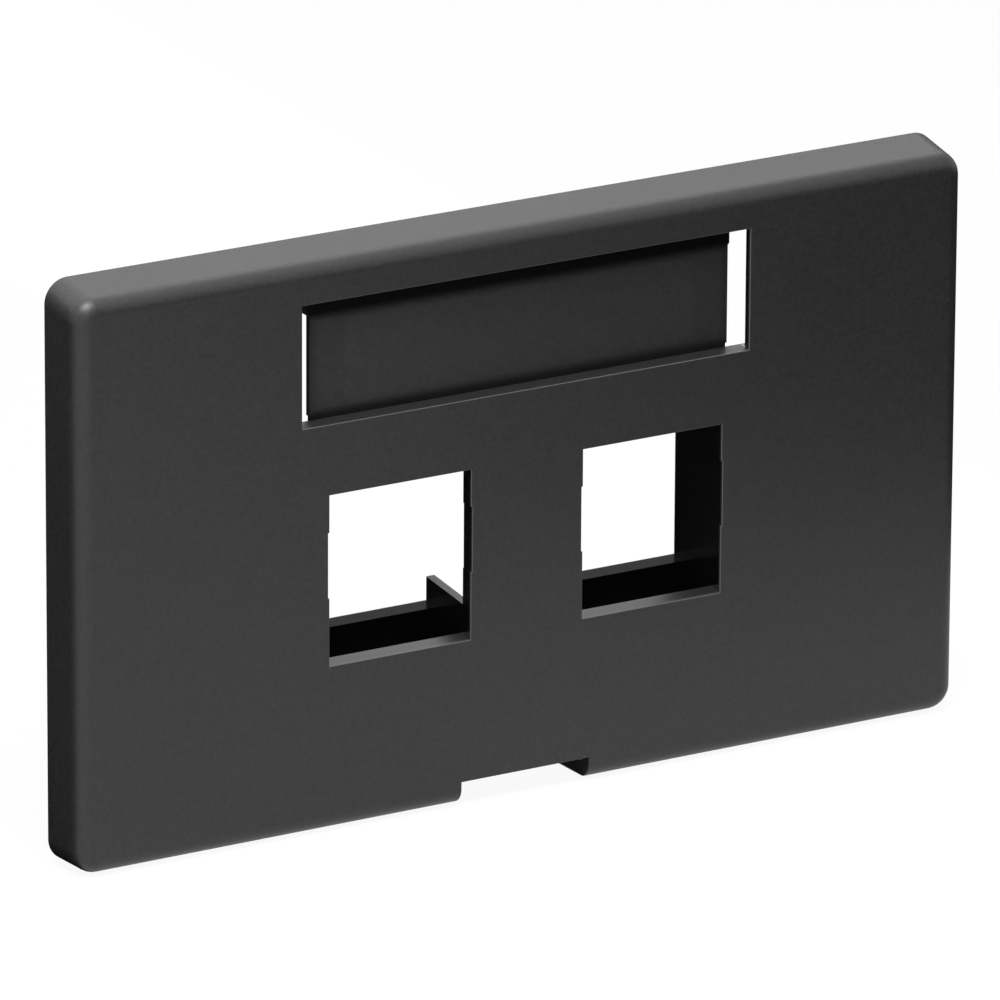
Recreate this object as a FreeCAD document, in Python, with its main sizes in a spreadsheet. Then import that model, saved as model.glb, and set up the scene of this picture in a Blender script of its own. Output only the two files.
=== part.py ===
import FreeCAD, Part
import math
import os
import Sketcher

# Keystone faceplate for a furniture knockout: one moulded plate with two jack ports,
# a recess for a clip-in label cover, a pry notch and two snap arms on the back.
# X runs along the width, Y runs from the front face to the back, Z is up.
# The sketches put the front face at Y = 0; the body's placement then centres it.

doc = FreeCAD.newDocument("keystone_faceplate")
sheet = doc.addObject("Spreadsheet::Sheet", "sizes")

SIZES = [
    # plate: an open-backed tray whose walls lean in towards the front
    ("plate_width", 93.3),
    ("plate_height", 55.5),
    ("rim_depth", 5.7),
    ("wall", 1.5),
    ("corner_radius", 2.3),
    ("edge_radius", 1.6),
    ("top_lean", 8.4),
    ("side_lean", 1.8),
    ("bottom_lean", 2.2),
    # jack ports
    ("port_width", 14.75),
    ("port_height", 16.44),
    ("port_pitch", 26.55),
    ("port_floor", 16.12),
    ("ledge_tilt", 10.5),
    ("relief_depth", 0.14),
    ("relief_reach", 3.1),
    ("relief_height", 6.3),
    ("relief_drop", 3.6),
    # the frame behind each port that holds the jack
    ("frame_depth", 8.35),
    ("frame_wall", 1.4),
    ("bar_thickness", 2.15),
    ("bar_rise", 1.3),
    ("toe_pocket", 1.9),
    ("floor_wall", 1.2),
    ("latch_pocket", 1.7),
    ("roof_wall", 1.2),
    ("stub_wall", 0.85),
    ("stub_setback", 0.1),
    ("stub_front", 3.05),
    ("stub_rear", 3.65),
    # label recess above the ports
    ("window_width", 46.95),
    ("window_height", 11.7),
    ("window_gap", 6.74),
    ("sill_tilt", 7.3),
    ("end_slot", 1.53),
    ("lip", 0.8),
    ("lip_reach", 1.2),
    ("panel_thickness", 0.6),
    ("panel_overlap", 1.2),
    ("panel_step", 0.16),
    ("step_height", 0.55),
    ("rib_drop", 1.7),
    ("rib_depth", 1.7),
    ("rib_ear", 0.16),
    # pry notch in the lower wall
    ("notch_width", 13.5),
    ("notch_height", 2.4),
    # snap arms for a 69 mm wide knockout in a thin panel
    ("knockout_width", 69.0),
    ("knockout_clearance", 0.3),
    ("arm_thickness", 1.5),
    ("arm_height", 12.0),
    ("arm_root", 0.8),
    ("panel_grip", 1.8),
    ("barb", 1.2),
    ("barb_length", 3.0),
    ("barb_tip", 0.4),
    # broken edge round each front opening
    ("opening_round", 0.1),
    # how far cutting tools run past the plate
    ("overrun", 1.0),
]
for row, (alias, size) in enumerate(SIZES, start=1):
    sheet.set("A%d" % row, alias)
    sheet.set("B%d" % row, str(size))
    sheet.setAlias("B%d" % row, alias)
doc.recompute()

# Derived places, worked out from the sheet by every feature that uses them.
HALF_WIDTH = "sizes.plate_width / 2"
PORT_X = "sizes.port_pitch / 2"
PORT_TOP = "sizes.port_floor + sizes.port_height"
PORT_OUTER = PORT_X + " + sizes.port_width / 2"
PORT_INNER = PORT_X + " - sizes.port_width / 2"
FRAME_SPAN = "sizes.frame_wall + sizes.port_width + sizes.stub_wall"
WINDOW_FLOOR = PORT_TOP + " + sizes.window_gap"
WINDOW_TOP = WINDOW_FLOOR + " + sizes.window_height"
PANEL_WIDTH = "sizes.window_width - 2 * sizes.end_slot"
ARM_OUTER = "sizes.knockout_width / 2 - sizes.knockout_clearance"
BARB_START = "sizes.rim_depth + sizes.panel_grip"
ARM_END = BARB_START + " + sizes.barb_length"

body = doc.addObject("PartDesign::Body", "faceplate")
body.Label = "faceplate"


def amount(expression):
    """The number that an expression has now."""
    return float(sheet.evalExpression(expression))


def origin_plane(role):
    return next(f for f in body.Origin.OriginFeatures if f.Role == role)


def sketch(name, role, offset, *loops):
    """A sketch of closed polygons on an origin plane, moved along the plane's normal.

    Each corner is a pair of expressions. A side whose two ends share a coordinate is
    made level or upright; every other coordinate is a named dimension from the origin.
    """
    sk = body.newObject("Sketcher::SketchObject", name)
    sk.AttachmentSupport = (origin_plane(role), "")
    sk.MapMode = "FlatFace"
    if offset:
        sk.setExpression("AttachmentOffset.Base.z", offset)
    for loop in loops:
        first = sk.GeometryCount
        count = len(loop)
        spots = [FreeCAD.Vector(amount(u), amount(v), 0) for u, v in loop]
        for i in range(count):
            sk.addGeometry(Part.LineSegment(spots[i], spots[(i + 1) % count]))
        for i in range(count):
            sk.addConstraint(Sketcher.Constraint(
                "Coincident", first + i, 2, first + (i + 1) % count, 1))
        for i, corner in enumerate(loop):
            for axis, kind, aligned in ((0, "DistanceX", "Vertical"), (1, "DistanceY", "Horizontal")):
                expression = corner[axis]
                if i and expression == loop[i - 1][axis]:
                    sk.addConstraint(Sketcher.Constraint(aligned, first + i - 1))
                elif i == count - 1 and expression == loop[0][axis]:
                    sk.addConstraint(Sketcher.Constraint(aligned, first + i))
                elif expression == "0":
                    sk.addConstraint(Sketcher.Constraint(
                        "PointOnObject", first + i, 1, -2 if axis == 0 else -1))
                else:
                    index = sk.addConstraint(Sketcher.Constraint(
                        kind, -1, 1, first + i, 1, spots[i][axis]))
                    dimension = "%s%d" % ("xy"[axis], first + i)
                    sk.renameConstraint(index, dimension)
                    sk.setExpression("Constraints." + dimension, expression)
    sk.Visibility = False
    return sk


def box_loop(left, right, low, high):
    return [(left, low), (right, low), (right, high), (left, high)]


def extrude(kind, name, profile, length, centred=False, backwards=False):
    """A Pad or Pocket of a sketch. It stops the build if it changed nothing."""
    before = body.Tip.Shape.Volume if body.Tip else 0.0
    feature = body.newObject("PartDesign::" + kind, name)
    feature.Profile = profile
    feature.setExpression("Length", length)
    if centred:
        feature.SideType = "Symmetric"
    feature.Reversed = backwards
    doc.recompute()
    change = feature.Shape.Volume - before
    if (change <= 0) if kind == "Pad" else (change >= 0):
        raise RuntimeError(name + " changed no volume")
    return feature


def round_edges(name, radius, wanted):
    """A fillet on the edges of the present solid that the test picks."""
    base = body.Tip
    picked = ["Edge%d" % (i + 1) for i, edge in enumerate(base.Shape.Edges) if wanted(edge)]
    if not picked:
        raise RuntimeError(name + " found no edges")
    fillet = body.newObject("PartDesign::Fillet", name)
    fillet.Base = (base, picked)
    fillet.setExpression("Radius", radius)
    doc.recompute()
    return fillet


def mirror(name, originals):
    """The same features on the other side of the plate's middle."""
    feature = body.newObject("PartDesign::Mirrored", name)
    feature.Originals = originals
    feature.MirrorPlane = (origin_plane("YZ_Plane"), [""])
    body.Tip = feature
    doc.recompute()
    return feature


def runs_in_depth(edge):
    """True for an edge that goes from front to back, leaning or not."""
    start, end = edge.Vertexes[0].Point, edge.Vertexes[-1].Point
    run = end - start
    return abs(run.y) > 2 * math.hypot(run.x, run.z) and abs(run.y) > amount("sizes.wall")


# ---------------------------------------------------------------- tray
top_slope = "tan(sizes.top_lean)"
side_slope = "tan(sizes.side_lean)"
bottom_slope = "tan(sizes.bottom_lean)"
side = sketch("side_profile", "YZ_Plane", None, [
    ("0", "sizes.rim_depth * " + bottom_slope), ("sizes.rim_depth", "0"),
    ("sizes.rim_depth", "sizes.plate_height"),
    ("0", "sizes.plate_height - sizes.rim_depth * " + top_slope)])
extrude("Pad", "plate", side, "sizes.plate_width", centred=True)
past_front = "(sizes.rim_depth + sizes.overrun) * " + side_slope
lean_cuts = sketch("side_lean_plan", "XY_Plane", "-sizes.overrun", *[[
    (sign + HALF_WIDTH, "sizes.rim_depth"),
    (sign + "(%s + sizes.overrun)" % HALF_WIDTH, "sizes.rim_depth"),
    (sign + "(%s + sizes.overrun)" % HALF_WIDTH, "-sizes.overrun"),
    (sign + "(%s - %s)" % (HALF_WIDTH, past_front), "-sizes.overrun")] for sign in ("", "-")])
extrude("Pocket", "side_leans", lean_cuts, "sizes.plate_height + 2 * sizes.overrun",
        backwards=True)
round_edges("plate_corners", "sizes.corner_radius", runs_in_depth)
round_edges("front_edge", "sizes.edge_radius",
            lambda edge: edge.BoundBox.YMax < 1e-6)

hollow = sketch("hollow_profile", "YZ_Plane", None, [
    ("sizes.wall", "sizes.wall + (sizes.rim_depth - sizes.wall) * " + bottom_slope),
    ("sizes.rim_depth + sizes.overrun", "sizes.wall - sizes.overrun * " + bottom_slope),
    ("sizes.rim_depth + sizes.overrun",
     "sizes.plate_height - sizes.wall + sizes.overrun * " + top_slope),
    ("sizes.wall",
     "sizes.plate_height - sizes.wall - (sizes.rim_depth - sizes.wall) * " + top_slope)])
extrude("Pocket", "hollow", hollow, "sizes.plate_width - 2 * sizes.wall", centred=True)
inner_x = amount(HALF_WIDTH + " - sizes.wall")
round_edges("hollow_corners", "sizes.corner_radius - sizes.wall",
            lambda edge: runs_in_depth(edge)
            and abs(abs(edge.Vertexes[0].X) - inner_x) < 1e-6)

# ---------------------------------------------------------------- pry notch
notch = sketch("notch_outline", "XZ_Plane", "sizes.overrun", box_loop(
    "-sizes.notch_width / 2", "sizes.notch_width / 2",
    "-sizes.overrun", "sizes.notch_height"))
extrude("Pocket", "pry_notch", notch, "sizes.rim_depth + 2 * sizes.overrun")

# ---------------------------------------------------------------- label recess
sill = "tan(sizes.sill_tilt)"
window = sketch("window_profile", "YZ_Plane", None, [
    ("-sizes.overrun", WINDOW_FLOOR + " - sizes.overrun * " + sill),
    ("sizes.wall", WINDOW_FLOOR + " + sizes.wall * " + sill),
    ("sizes.wall", WINDOW_TOP),
    ("-sizes.overrun", WINDOW_TOP)])
extrude("Pocket", "window", window, "sizes.window_width", centred=True)
undercut = sketch("undercut_profile", "YZ_Plane", None, [
    ("sizes.lip", WINDOW_FLOOR + " + sizes.lip * " + sill),
    ("sizes.wall", WINDOW_FLOOR + " + sizes.wall * " + sill),
    ("sizes.wall", WINDOW_TOP),
    ("sizes.lip", WINDOW_TOP)])
extrude("Pocket", "end_undercuts", undercut, "sizes.window_width + 2 * sizes.lip_reach",
        centred=True)
panel_end = "(%s) / 2" % PANEL_WIDTH
step_end = panel_end + " - sizes.panel_step"
step_top = WINDOW_FLOOR + " + sizes.step_height"
panel_low = WINDOW_FLOOR + " - sizes.panel_overlap"
panel_high = WINDOW_TOP + " + sizes.panel_overlap"
panel = sketch("panel_outline", "XZ_Plane", "-sizes.wall", [
    ("-(%s)" % step_end, panel_low), (step_end, panel_low),
    (step_end, step_top), (panel_end, step_top),
    (panel_end, panel_high), ("-" + panel_end, panel_high),
    ("-" + panel_end, step_top), ("-(%s)" % step_end, step_top)])
extrude("Pad", "label_panel", panel, "sizes.panel_thickness", backwards=True)
rib_side = panel_end + " + sizes.rib_ear"
rib_low = WINDOW_TOP + " - sizes.rib_drop"
rib = sketch("rib_outline", "XZ_Plane", "-sizes.wall", [
    ("-(%s)" % rib_side, rib_low + " + sizes.rib_ear"),
    ("-" + panel_end, rib_low),
    (panel_end, rib_low),
    (rib_side, rib_low + " + sizes.rib_ear"),
    (rib_side, panel_high),
    ("-(%s)" % rib_side, panel_high)])
extrude("Pad", "panel_rib", rib, "sizes.rib_depth", backwards=True)

# ---------------------------------------------------------------- one jack port
tilt = "tan(sizes.ledge_tilt)"
opening = sketch("port_profile", "YZ_Plane", PORT_X, [
    ("-sizes.overrun", "sizes.port_floor - sizes.overrun * " + tilt),
    ("sizes.wall", "sizes.port_floor + sizes.wall * " + tilt),
    ("sizes.wall", PORT_TOP),
    ("-sizes.overrun", PORT_TOP)])
port = extrude("Pocket", "port", opening, "sizes.port_width", centred=True)

# The frame behind the port is drawn from the side: a hook under the opening that
# holds the jack's toe, and one above it that the jack's latch snaps over.
bar_front = "sizes.frame_depth - sizes.bar_thickness"
frame_floor = "sizes.port_floor - sizes.toe_pocket - sizes.floor_wall"
frame_roof = PORT_TOP + " + sizes.latch_pocket + sizes.roof_wall"
toe_hook = [
    ("sizes.wall", frame_floor),
    ("sizes.frame_depth", frame_floor),
    ("sizes.frame_depth", "sizes.port_floor + sizes.bar_rise"),
    (bar_front, "sizes.port_floor + sizes.bar_rise"),
    (bar_front, "sizes.port_floor - sizes.toe_pocket"),
    ("sizes.wall", "sizes.port_floor - sizes.toe_pocket")]
latch_hook = [
    ("sizes.wall", frame_roof),
    ("sizes.frame_depth", frame_roof),
    ("sizes.frame_depth", PORT_TOP),
    (bar_front, PORT_TOP),
    (bar_front, PORT_TOP + " + sizes.latch_pocket"),
    ("sizes.wall", PORT_TOP + " + sizes.latch_pocket")]
hooks_at = PORT_X + " + (sizes.frame_wall - sizes.stub_wall) / 2"
hooks = sketch("hook_profiles", "YZ_Plane", hooks_at, toe_hook, latch_hook)
port_hooks = extrude("Pad", "port_hooks", hooks, FRAME_SPAN, centred=True)
outer = sketch("outer_wall_profile", "YZ_Plane", PORT_OUTER, box_loop(
    "sizes.wall", "sizes.frame_depth", frame_floor, frame_roof))
outer_wall = extrude("Pad", "outer_wall", outer, "sizes.frame_wall")
stub = sketch("stub_profile", "YZ_Plane", PORT_INNER, [
    ("sizes.wall", frame_floor),
    ("sizes.frame_depth - sizes.stub_setback", frame_floor),
    ("sizes.frame_depth - sizes.stub_setback", "sizes.port_floor + sizes.stub_rear"),
    ("sizes.wall", "sizes.port_floor + sizes.stub_front")])
inner_stub = extrude("Pad", "inner_stub", stub, "sizes.stub_wall", backwards=True)

# A shallow relief tapers back along both sides of the opening.
relief_low = PORT_TOP + " - sizes.relief_drop - sizes.relief_height"


def relief_loop(edge, outwards):
    """A thin wedge in plan: full depth at the front face, nothing at its far end."""
    return [(edge, "0"), (edge + outwards + "sizes.relief_depth", "0"),
            (edge, "sizes.relief_reach")]


reliefs = sketch("relief_plan", "XY_Plane", relief_low,
                 relief_loop(PORT_OUTER, " + "), relief_loop(PORT_INNER, " - "))
port_reliefs = extrude("Pocket", "port_reliefs", reliefs, "sizes.relief_height", backwards=True)
mirror("second_port", [port, port_hooks, outer_wall, inner_stub, port_reliefs])

# ---------------------------------------------------------------- snap arms
arm = sketch("arm_plan", "XY_Plane", "(sizes.plate_height) / 2", [
    (ARM_OUTER + " - sizes.arm_thickness", "sizes.wall"),
    (ARM_OUTER, "sizes.wall"),
    (ARM_OUTER, BARB_START),
    (ARM_OUTER + " + sizes.barb", BARB_START),
    (ARM_OUTER + " - sizes.barb_tip", ARM_END),
    (ARM_OUTER + " - sizes.arm_thickness", ARM_END)])
snap_arm = extrude("Pad", "snap_arm", arm, "sizes.arm_height", centred=True)
mirror("second_arm", [snap_arm])

wall_back = amount("sizes.wall")
arm_faces = [amount(ARM_OUTER), amount(ARM_OUTER + " - sizes.arm_thickness")]
round_edges("arm_roots", "sizes.arm_root", lambda edge:
            abs(edge.BoundBox.YMin - wall_back) < 1e-6 and edge.BoundBox.YLength < 1e-6
            and edge.BoundBox.XLength < 1e-6
            and any(abs(abs(edge.CenterOfMass.x) - x) < 1e-6 for x in arm_faces))

# ---------------------------------------------------------------- broken edges in front
front_reach = amount(HALF_WIDTH + " - 2 * sizes.edge_radius")
front_low = amount("sizes.rim_depth * %s + sizes.edge_radius" % bottom_slope) + 1e-3
front_high = amount(WINDOW_TOP) + 1e-3
round_edges("opening_edges", "sizes.opening_round", lambda edge:
            edge.BoundBox.YMax < 1e-6 and edge.BoundBox.XMax < front_reach
            and edge.BoundBox.XMin > -front_reach
            and front_low < edge.BoundBox.ZMax < front_high)

body.setExpression("Placement.Base.y", "-(%s) / 2" % ARM_END)
doc.recompute()

# ---------------------------------------------------------------- check and write
for item in doc.Objects:
    if any(state in ("Invalid", "Error") for state in item.State):
        raise RuntimeError("%s failed: %s" % (item.Name, item.State))
if body.Shape.isNull() or not body.Shape.isValid() or len(body.Shape.Solids) != 1:
    raise RuntimeError("faceplate is not one valid solid")
os.makedirs("parts", exist_ok=True)
body.Shape.exportStep("parts/%s.step" % body.Label)
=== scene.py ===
from math import radians

import bpy
from mathutils import Matrix, Vector


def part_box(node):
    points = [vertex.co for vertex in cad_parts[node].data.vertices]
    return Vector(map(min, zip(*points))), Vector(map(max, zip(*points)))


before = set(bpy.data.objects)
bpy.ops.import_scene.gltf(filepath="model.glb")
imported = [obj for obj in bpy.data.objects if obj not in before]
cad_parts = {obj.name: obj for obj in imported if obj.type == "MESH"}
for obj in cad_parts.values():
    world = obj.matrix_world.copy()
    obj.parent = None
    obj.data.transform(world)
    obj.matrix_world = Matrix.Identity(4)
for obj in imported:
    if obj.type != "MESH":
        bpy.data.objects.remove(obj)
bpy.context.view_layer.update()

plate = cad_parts["faceplate"]
low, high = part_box("faceplate")
centre = (low + high) / 2
MM = 0.001

# Where each finish starts and ends. Depths are from the front face, heights from the
# lower edge and widths from the upright through the plate's middle.
SKIN_BACK = 1.6 * MM            # just behind the front wall
RIM_OUTER, RIM_INNER = 0.6 * MM, 1.2 * MM
TOP_INNER = 2.3 * MM            # the top wall leans, so its inside starts further in
PORT_MIDDLE = 13.275 * MM
PORT_REACH = 8.1 * MM           # from a port's middle into the frame's side wall
PORT_LOW, PORT_HIGH = 13.6 * MM, 34.8 * MM
PORT_BACK = 8.25 * MM
SILL_HIGH = 16.5 * MM
RECESS_LOW, RECESS_HIGH = 39.0 * MM, 51.2 * MM
RECESS_END = 23.4 * MM
END_WALL_BACK = 23.6 * MM
END_WALL_LOW, END_WALL_HIGH = 39.4 * MM, 51.0 * MM
PANEL_FACE = 1.45 * MM
WITNESS_LINE = 18.3 * MM        # an upright line near each end of the label panel
FIELD_END = 42.0 * MM           # the flat part of the front, clear of its rounding
FIELD_LOW, FIELD_HIGH = 6.0 * MM, 52.5 * MM


# ------------------------------------------------------------- shader sockets
class Socket:
    """A shader value that Python's operators turn into Math nodes."""

    def __init__(self, shader, socket):
        self.shader, self.socket = shader, socket

    def _math(self, operation, *values):
        return self.shader.node("ShaderNodeMath", {"operation": operation}, values)

    def __add__(self, other): return self._math("ADD", self, other)
    def __radd__(self, other): return self._math("ADD", other, self)
    def __sub__(self, other): return self._math("SUBTRACT", self, other)
    def __rsub__(self, other): return self._math("SUBTRACT", other, self)
    def __mul__(self, other): return self._math("MULTIPLY", self, other)
    def __rmul__(self, other): return self._math("MULTIPLY", other, self)
    def __gt__(self, other): return self._math("GREATER_THAN", self, other)
    def __lt__(self, other): return self._math("LESS_THAN", self, other)
    def size(self): return self._math("ABSOLUTE", self)
    def larger(self, other): return self._math("MAXIMUM", self, other)

    def between(self, start, end):
        """1 from start to end, 0 outside."""
        return (self > start) * (self < end)

    def ramp(self, start, end):
        """0 up to start, 1 past end, smooth between; start may be the larger."""
        return self.shader.node("ShaderNodeMapRange", {"interpolation_type": "SMOOTHSTEP"},
                                {"Value": self, "From Min": start, "From Max": end})


class Shader:
    """The node tree of one material or world."""

    def __init__(self, tree):
        self.tree = tree
        tree.nodes.clear()

    def node(self, kind, settings=None, values=(), out=0):
        """Adds a node: its settings first, then its sockets' values or links."""
        made = self.tree.nodes.new(kind)
        for name, setting in (settings or {}).items():
            setattr(made, name, setting)
        pairs = values.items() if isinstance(values, dict) else enumerate(values)
        for key, value in pairs:
            if isinstance(value, Socket):
                self.tree.links.new(value.socket, made.inputs[key])
            else:
                made.inputs[key].default_value = value
        return Socket(self, made.outputs[out]) if len(made.outputs) else None

    def mix(self, factor, a, b):
        """A colour between a and b."""
        return self.node("ShaderNodeMix", {"data_type": "RGBA"}, {0: factor, 6: a, 7: b}, out=2)

    def noise(self, place, scale, detail, roughness):
        return self.node("ShaderNodeTexNoise", None, {
            "Vector": place, "Scale": scale, "Detail": detail, "Roughness": roughness})

    def parts(self, vector):
        """The x, y and z of a vector."""
        return [self.node("ShaderNodeSeparateXYZ", None, (vector,), out=i) for i in range(3)]


def new_material(name):
    material = bpy.data.materials.new(name)
    material.use_nodes = True
    return material, Shader(material.node_tree)


# ------------------------------------------------------------- moulded plastic
def moulded_plastic():
    """Charcoal plastic: spark-eroded outside, plain behind, polished in the ports."""
    material, s = new_material("moulded_plastic")
    place = s.node("ShaderNodeTexCoord", out="Object")
    x, y, z = s.parts(place)
    aside, depth, height = x.size(), y - low.y, z - low.z
    tall = high.z - low.z

    # rear is 1 behind the front skin and within the rim walls, where the tool is plain;
    # the label recess keeps the outer grain
    behind = depth.ramp(0.15 * MM, 0.45 * MM)
    within = aside.ramp(high.x - RIM_OUTER, high.x - RIM_INNER)
    under = height.ramp(tall - RIM_OUTER, tall - TOP_INNER)
    over = height.ramp(RIM_OUTER, RIM_INNER)
    shallow = depth < SKIN_BACK
    recess = shallow * (height > RECESS_LOW) * (aside < RECESS_END)
    rear = behind * within * under * over * (1 - recess)

    # port is 1 inside the two jack frames, which are polished but for the sill and coloured
    # near black as painted shade of their deep insides; the two end walls of the label recess
    # are the same
    port = (rear * ((aside - PORT_MIDDLE).size() < PORT_REACH)
            * height.between(PORT_LOW, PORT_HIGH) * (depth < PORT_BACK))
    sill = shallow * (height < SILL_HIGH)
    end_wall = (rear * shallow * aside.between(RECESS_END, END_WALL_BACK)
                * height.between(END_WALL_LOW, END_WALL_HIGH))
    polished = port * (1 - sill) + end_wall

    # painted highlight: the sharp edges of the ports, the label recess and the end slots are
    # coloured pale where they would catch the light
    field = (aside < FIELD_END) * height.between(FIELD_LOW, FIELD_HIGH)
    edge_highlight = depth.ramp(0.005 * MM, 0.03 * MM) * depth.ramp(0.14 * MM, 0.09 * MM) * field

    # painted shade: the blind corners round the label panel are mixed towards flat black, and
    # the panel beyond each witness line is a little darker
    face = recess * (depth > PANEL_FACE) * (height < RECESS_HIGH)
    top_corner = height.ramp(48.4 * MM, 49.7 * MM) * 0.92
    foot_corner = height.ramp(40.8 * MM, 39.7 * MM) * 0.65
    end_corner = aside.ramp(20.4 * MM, 22.2 * MM) * 0.35
    panel_end = (aside > WITNESS_LINE) * 0.08
    corner_shade = face * top_corner.larger(foot_corner).larger(end_corner).larger(panel_end)

    grain = s.noise(place, 3200.0, 3.0, 0.6)
    cloud = s.noise(place, 45.0, 4.0, 0.55)
    fleck = s.noise(place, 2800.0, 3.0, 0.5)

    tone = (cloud - 0.5) * 0.06 + (fleck - 0.5) * 1.4 + 0.5
    colour = s.mix(tone, (0.0070, 0.0070, 0.0081, 1), (0.0195, 0.0196, 0.0209, 1))
    # painted shade: the insides of the ports and the recess end walls are coloured near black
    colour = s.mix(port + end_wall, colour, (0.0020, 0.0020, 0.0022, 1))
    # painted highlight: the opening edges are mixed towards pale grey
    colour = s.mix(edge_highlight * 0.8, colour, (0.085, 0.085, 0.088, 1))
    rough = 0.44 + (cloud - 0.5) * 0.08 - rear * 0.06 - polished * 0.18
    bump = s.node("ShaderNodeBump", None, {
        "Strength": 0.35, "Distance": 0.00004, "Height": grain * (1 - rear)})
    surface = s.node("ShaderNodeBsdfPrincipled", None, {
        "Base Color": colour, "Roughness": rough, "IOR": 1.50, "Normal": bump})
    shade_black = s.node("ShaderNodeBsdfDiffuse", None, {"Color": (0.002, 0.002, 0.0024, 1)})
    # painted shade: the plastic is mixed towards flat black in the label-recess corners
    both = s.node("ShaderNodeMixShader", None, (corner_shade, surface, shade_black))
    s.node("ShaderNodeOutputMaterial", None, {"Surface": both})
    return material


plastic = moulded_plastic()
for index in range(len(plate.data.materials)):
    plate.data.materials[index] = plastic


# ------------------------------------------------------------- studio
def seen_direct(s):
    """1 where a surface or the world is seen directly, in a reflection or through glass."""
    camera_ray, glossy_ray, glass_ray = [
        s.node("ShaderNodeLightPath", out=name)
        for name in ("Is Camera Ray", "Is Glossy Ray", "Is Transmission Ray")]
    return camera_ray.larger(glossy_ray).larger(glass_ray)


def white_paper():
    """The floor: white where it is seen, with a small share of real paint for shadows."""
    material, s = new_material("white_paper")
    paint = s.node("ShaderNodeBsdfDiffuse", None, {"Color": (0.8, 0.8, 0.8, 1)})
    glow = s.node("ShaderNodeEmission", None, {"Color": (1, 1, 1, 1), "Strength": 1.0})
    both = s.node("ShaderNodeMixShader", None, (seen_direct(s) * 0.93, paint, glow))
    s.node("ShaderNodeOutputMaterial", None, {"Surface": both})
    return material


def felt(name, tone):
    material, s = new_material(name)
    cloth = s.node("ShaderNodeBsdfDiffuse", None, {"Color": (tone, tone, tone, 1)})
    s.node("ShaderNodeOutputMaterial", None, {"Surface": cloth})
    return material


def sheet(name, place, width, depth, material, turn=(0.0, 0.0, 0.0)):
    """A flat rectangle of the studio, lying level before it is turned."""
    bpy.ops.mesh.primitive_plane_add(size=1, location=place, rotation=turn)
    made = bpy.context.object
    made.name, made.scale = name, (width, depth, 1)
    made.data.materials.append(material)
    return made


def flag(name, place, width, depth, cloth, turn=(0.0, 0.0, 0.0)):
    """A dark flag, kept out of shot, that darkens what the plastic mirrors."""
    made = sheet(name, place, width, depth, cloth, turn)
    made.visible_camera = made.visible_shadow = False


def softbox(name, place, width, depth, power):
    """A rectangular lamp that faces the middle of the plate, kept out of shot."""
    lamp = bpy.data.lights.new(name, "AREA")
    lamp.shape, lamp.size, lamp.size_y, lamp.energy = "RECTANGLE", width, depth, power
    made = bpy.data.objects.new(name, lamp)
    bpy.context.scene.collection.objects.link(made)
    made.location, made.visible_camera = place, False
    made.rotation_euler = (centre - Vector(place)).to_track_quat("-Z", "Y").to_euler()


def studio_world():
    """Soft light from all round; pure white where it is seen."""
    world = bpy.data.worlds.new("studio")
    bpy.context.scene.world = world
    world.use_nodes = True
    s = Shader(world.node_tree)
    around, backdrop = [
        s.node("ShaderNodeBackground", None, {"Color": (1, 1, 1, 1), "Strength": strength})
        for strength in (0.4, 1.0)]
    both = s.node("ShaderNodeMixShader", None, (seen_direct(s), around, backdrop))
    s.node("ShaderNodeOutputWorld", None, {"Surface": both})


black_felt, grey_felt = felt("black_felt", 0.01), felt("grey_felt", 0.16)
ABOVE_FLOOR = low.z + 0.2 * MM
UPRIGHT = radians(90)

sheet("floor", (0, 0, low.z), 6, 6, white_paper())
flag("rear_flag", (-0.36, 0.4458, ABOVE_FLOOR), 0.78, 0.90, black_felt)
flag("rear_curtain", (0.05, 0.60, low.z + 0.22), 2.20, 0.44, grey_felt, (UPRIGHT, 0, 0))
flag("front_flag", (0.356, -0.355, ABOVE_FLOOR), 0.64, 0.60, black_felt)
flag("front_curtain", (0.30, -0.36, low.z + 0.06), 0.80, 0.12, black_felt,
     (UPRIGHT, 0, radians(30)))
flag("right_flag", (0.405, 0.09, ABOVE_FLOOR), 0.64, 0.30, black_felt)

softbox("top_light", (-0.17, -0.22, 0.62), 0.32, 0.32, 5.6)
softbox("back_light", (0.0, 0.50, 0.43), 1.40, 0.09, 1.8)
softbox("over_light", (-0.05, 0.14, 0.66), 1.20, 0.30, 2.2)
studio_world()

# ------------------------------------------------------------- camera
AZIMUTH, ELEVATION, ROLL = radians(-30.06), radians(19.08), radians(0.33)
AIM = Vector((-1.87 * MM, low.y + 1.77 * MM, 28.46 * MM))
DISTANCE = 1.1015

camera = bpy.data.cameras.new("camera")
camera.sensor_width, camera.lens = 36.0, 434.34
camera.clip_end = 20
eye = bpy.data.objects.new("camera", camera)
bpy.context.scene.collection.objects.link(eye)
turn = (Matrix.Rotation(AZIMUTH, 4, "Z") @ Matrix.Rotation(UPRIGHT - ELEVATION, 4, "X")
        @ Matrix.Rotation(ROLL, 4, "Z"))
eye.matrix_world = Matrix.Translation(AIM) @ turn @ Matrix.Translation((0, 0, DISTANCE))
bpy.context.scene.camera = eye
bpy.context.scene.view_settings.view_transform = "Standard"
